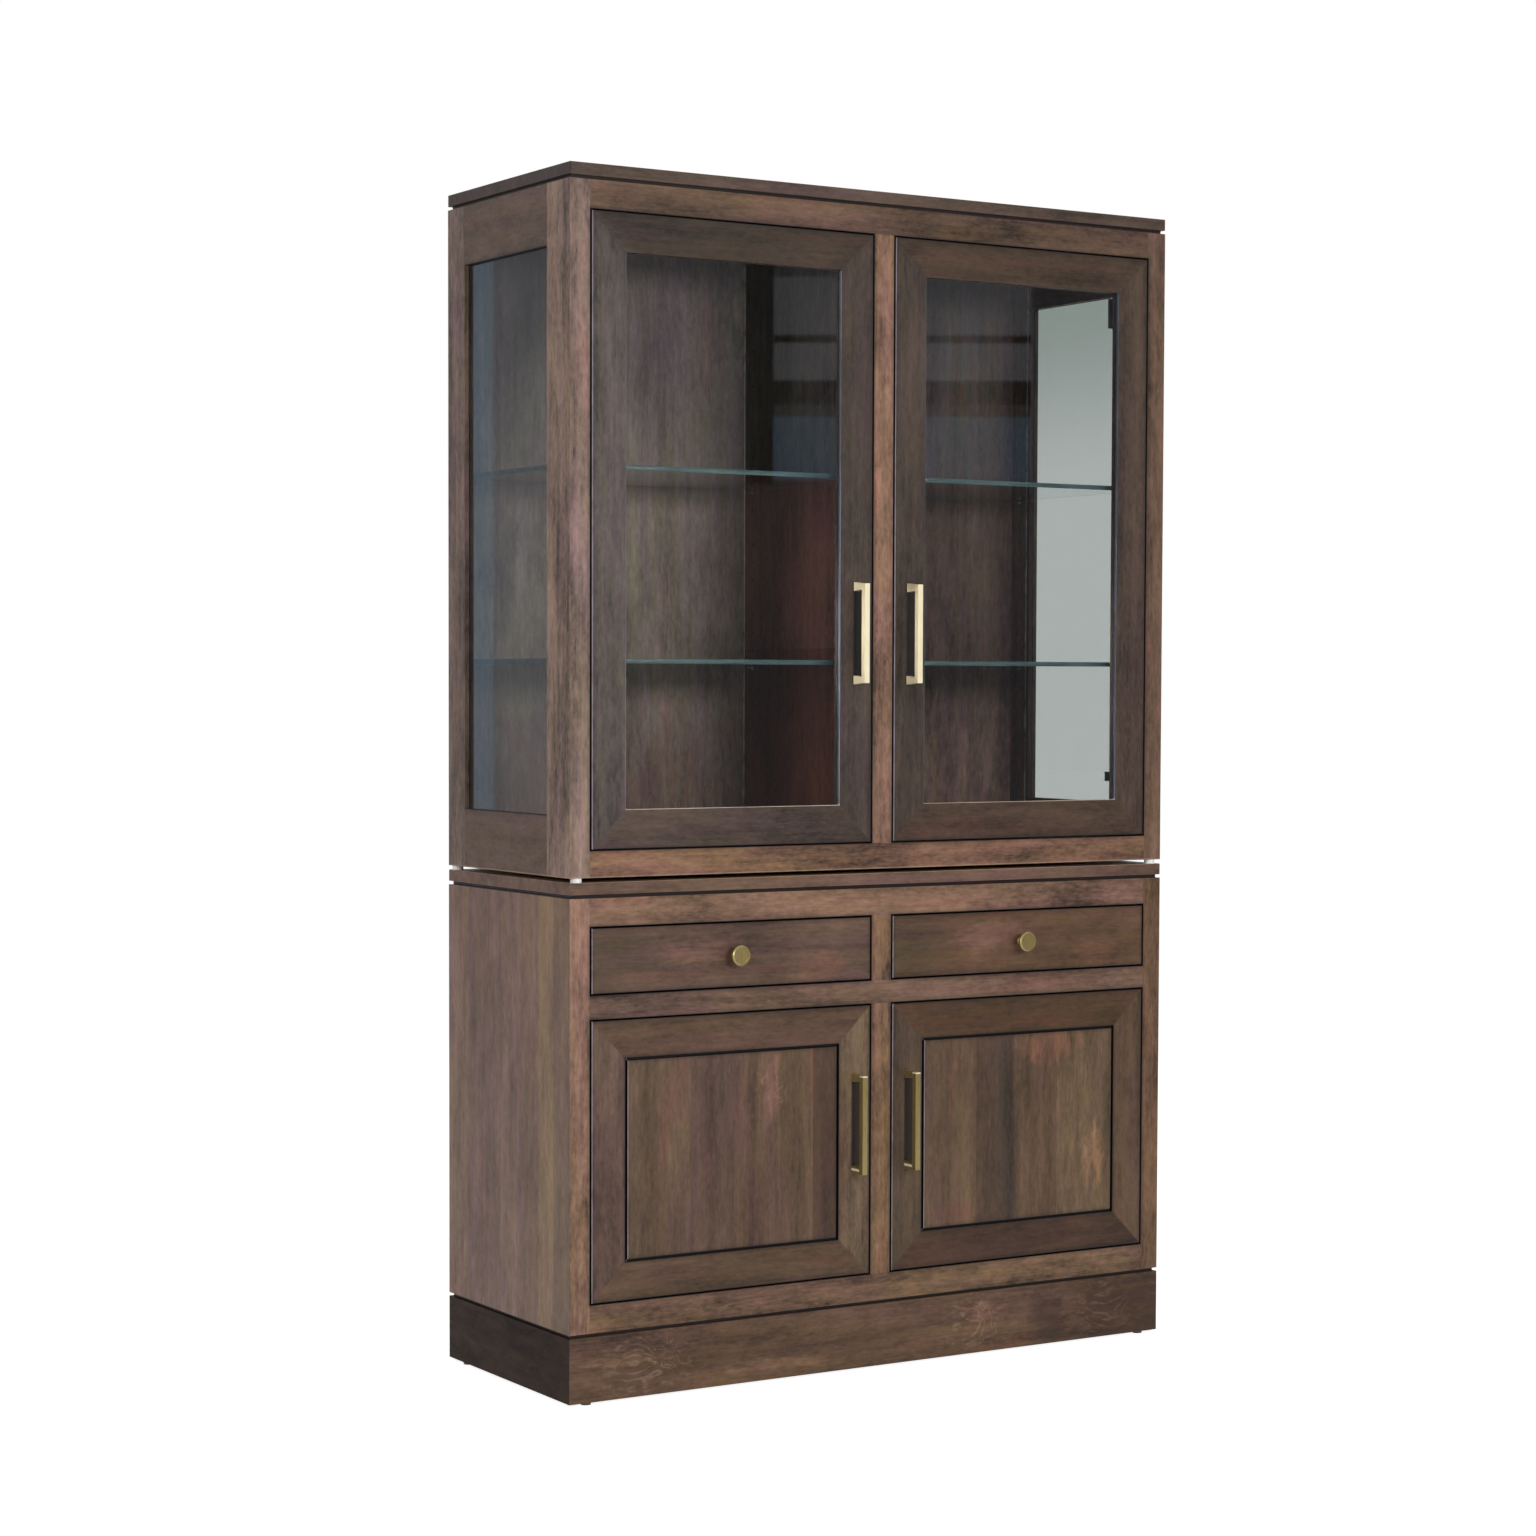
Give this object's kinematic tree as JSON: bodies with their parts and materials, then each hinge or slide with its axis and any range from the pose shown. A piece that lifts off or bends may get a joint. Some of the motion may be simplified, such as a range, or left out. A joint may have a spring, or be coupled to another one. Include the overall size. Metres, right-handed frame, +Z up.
{
  "type": "dresser with hutch",
  "caption": "Tall dark wood dresser: framed doors and drawers below, a glazed hutch with glass shelves above, brass bar pulls and round knobs.",
  "frame": {"origin": "on the floor, midway between the sides and midway between the front of the pulls and the back", "axes": "+Z up, the front faces -Y, +X is the viewer's right"},
  "size_m": [1.219, 0.485, 2.032],
  "materials": {
    "plinth_wood": "satin",
    "dark_wood": "satin",
    "top_wood": "satin",
    "side_wood": "satin",
    "frame_wood": "satin",
    "door_wood": "satin",
    "panel_wood": "satin",
    "back_wood": "satin",
    "inner_wood": "satin",
    "glass": "gloss",
    "steel": "satin",
    "brass": "satin",
    "glide_nylon": "matte",
    "pad_white": "matte"
  },
  "bodies": {
    "cabinet": {"plinth_front": "plinth_wood", "plinth_sides": "plinth_wood", "plinth_back": "plinth_wood", "glides": "glide_nylon", "hutch_pads": "pad_white", "reveal_boards": "dark_wood", "base_top": "top_wood", "hutch_top": "top_wood", "base_side_left": "side_wood", "base_side_right": "side_wood", "hutch_side_stiles": "side_wood", "hutch_side_rails": "side_wood", "hutch_side_beads": "side_wood", "base_frame_uprights": "frame_wood", "base_frame_rails": "frame_wood", "hutch_frame_uprights": "frame_wood", "hutch_frame_rails": "frame_wood", "base_back": "back_wood", "hutch_back": "back_wood", "base_floor": "inner_wood", "base_partition": "inner_wood", "base_stretchers": "inner_wood", "base_shelves": "inner_wood", "hutch_floor": "inner_wood", "hutch_partition": "inner_wood", "hutch_ceiling": "inner_wood", "packing_blocks": "inner_wood", "hutch_side_glass": "glass", "glass_shelves": "glass", "shelf_pins": "steel", "hinge_arms": "steel", "slide_channels": "steel"},
    "upper_left_door": {"upper_left_frame": "door_wood", "upper_left_glass": "glass", "upper_left_beads": "door_wood", "upper_left_pull": "brass", "upper_left_hinge_cups": "steel"},
    "upper_right_door": {"upper_right_frame": "door_wood", "upper_right_glass": "glass", "upper_right_beads": "door_wood", "upper_right_pull": "brass", "upper_right_hinge_cups": "steel"},
    "lower_left_door": {"lower_left_frame": "door_wood", "lower_left_panel": "panel_wood", "lower_left_pull": "brass", "lower_left_hinge_cups": "steel"},
    "lower_right_door": {"lower_right_frame": "door_wood", "lower_right_panel": "panel_wood", "lower_right_pull": "brass", "lower_right_hinge_cups": "steel"},
    "left_drawer": {"left_drawer_front": "panel_wood", "left_drawer_box": "inner_wood", "left_drawer_knob": "brass", "left_drawer_rails": "steel"},
    "right_drawer": {"right_drawer_front": "panel_wood", "right_drawer_box": "inner_wood", "right_drawer_knob": "brass", "right_drawer_rails": "steel"}
  },
  "joints": [
    {"name": "upper_left_hinge", "type": "hinge", "parent": "cabinet", "child": "upper_left_door", "pos_m": [-0.543, -0.1967, 1.437], "axis": [0, 0, -1], "range_deg": [0, 95]},
    {"name": "upper_right_hinge", "type": "hinge", "parent": "cabinet", "child": "upper_right_door", "pos_m": [0.543, -0.1967, 1.437], "axis": [0, 0, 1], "range_deg": [0, 95]},
    {"name": "lower_left_hinge", "type": "hinge", "parent": "cabinet", "child": "lower_left_door", "pos_m": [-0.543, -0.1967, 0.40125], "axis": [0, 0, -1], "range_deg": [0, 95]},
    {"name": "lower_right_hinge", "type": "hinge", "parent": "cabinet", "child": "lower_right_door", "pos_m": [0.543, -0.1967, 0.40125], "axis": [0, 0, 1], "range_deg": [0, 95]},
    {"name": "left_drawer_slide", "type": "slide", "parent": "cabinet", "child": "left_drawer", "axis": [0, -1, 0], "range_m": [0, 0.3]},
    {"name": "right_drawer_slide", "type": "slide", "parent": "cabinet", "child": "right_drawer", "axis": [0, -1, 0], "range_m": [0, 0.3]}
  ]
}
